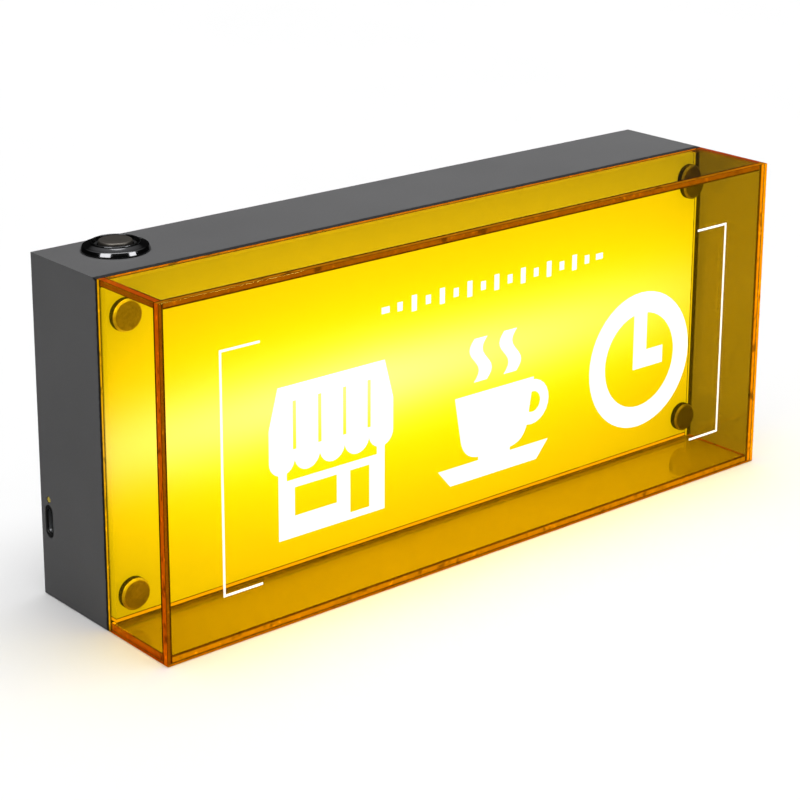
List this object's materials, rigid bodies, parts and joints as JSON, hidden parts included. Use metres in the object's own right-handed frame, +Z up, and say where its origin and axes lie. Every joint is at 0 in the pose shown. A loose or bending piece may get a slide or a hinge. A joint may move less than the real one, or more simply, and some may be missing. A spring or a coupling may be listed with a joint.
{
  "type": "lighted advertising sign",
  "caption": "Battery-lit shop sign: a grey steel housing with a top push-button, an opal light panel on cap screws and a clear yellow acrylic box cover with plain white pictograms.",
  "frame": {"origin": "on the surface that the sign stands on, under the middle of the whole sign", "axes": "+X to the viewer's right along the sign's length, -Y out of the lit front, +Z up"},
  "size_m": [0.3, 0.0792, 0.1339],
  "materials": {
    "grey_steel": "dark grey powder coat, satin, fine texture",
    "opal_acrylic": "opal acrylic, lit from behind",
    "yellow_acrylic": "clear yellow acrylic, polished",
    "white_vinyl": "white cut vinyl film",
    "cap_steel": "brushed steel, chamfered edge",
    "black_screw": "black oxide steel",
    "zinc_steel": "zinc plated steel",
    "aluminium": "mill aluminium",
    "brass": "turned brass",
    "black_metal": "black plated, glossy",
    "button_face": "grey-brown plated, satin",
    "black_plastic": "moulded black plastic",
    "black_rubber": "black rubber",
    "white_plastic": "white sheet plastic and white board",
    "board_green": "green circuit board",
    "cell_wrap": "shrink-wrapped battery cell",
    "amber_lens": "tinted clear lens",
    "red_lead": "red insulated wire"
  },
  "bodies": {
    "housing": {"battery_cell": "cell_wrap", "battery_holder": "black_plastic", "battery_lead": "red_lead", "board_pad": "black_rubber", "cap_screw_bottom_left": "cap_steel", "cap_screw_bottom_right": "cap_steel", "cap_screw_top_left": "cap_steel", "cap_screw_top_right": "cap_steel", "channel_post_left": "brass", "channel_post_right": "brass", "channel_screw_left": "zinc_steel", "channel_screw_right": "zinc_steel", "charge_board": "board_green", "charge_socket": "zinc_steel", "housing_shell": "grey_steel", "indicator_lens": "amber_lens", "led_board": "white_plastic", "light_channel": "aluminium", "light_lead": "red_lead", "light_panel": "opal_acrylic", "panel_post_bottom_left": "brass", "panel_post_bottom_right": "brass", "panel_post_top_left": "brass", "panel_post_top_right": "brass", "rear_cover": "grey_steel", "rear_screw_bottom_left": "black_screw", "rear_screw_bottom_right": "black_screw", "rear_screw_left": "black_screw", "rear_screw_right": "black_screw", "rear_screw_top_left": "black_screw", "rear_screw_top_right": "black_screw", "reflector_sheet": "white_plastic", "socket_surround": "black_plastic", "switch_body": "black_metal", "switch_gasket": "black_rubber", "switch_lead": "red_lead", "switch_nut": "zinc_steel", "switch_ring": "black_plastic", "switch_spring": "zinc_steel", "switch_terminal_a": "brass", "switch_terminal_b": "brass"},
    "cover": {"cover_bottom": "yellow_acrylic", "cover_front": "yellow_acrylic", "cover_left": "yellow_acrylic", "cover_right": "yellow_acrylic", "cover_top": "yellow_acrylic", "vinyl_bracket_left": "white_vinyl", "vinyl_bracket_right": "white_vinyl", "vinyl_clock": "white_vinyl", "vinyl_cup": "white_vinyl", "vinyl_shop": "white_vinyl", "vinyl_steam_left": "white_vinyl", "vinyl_steam_right": "white_vinyl"},
    "button": {"switch_button": "button_face"}
  },
  "joints": [
    {"name": "button_press", "type": "slide", "parent": "housing", "child": "button", "axis": [0, 0, -1], "range_m": [0, 0.0025], "stiffness_N_per_m": 400, "springref_m": -0.002, "deforming": ["switch_spring"]},
    {"name": "cover_pull", "type": "slide", "parent": "housing", "child": "cover", "axis": [0, -1, 0], "range_m": [0, 0.038]}
  ]
}
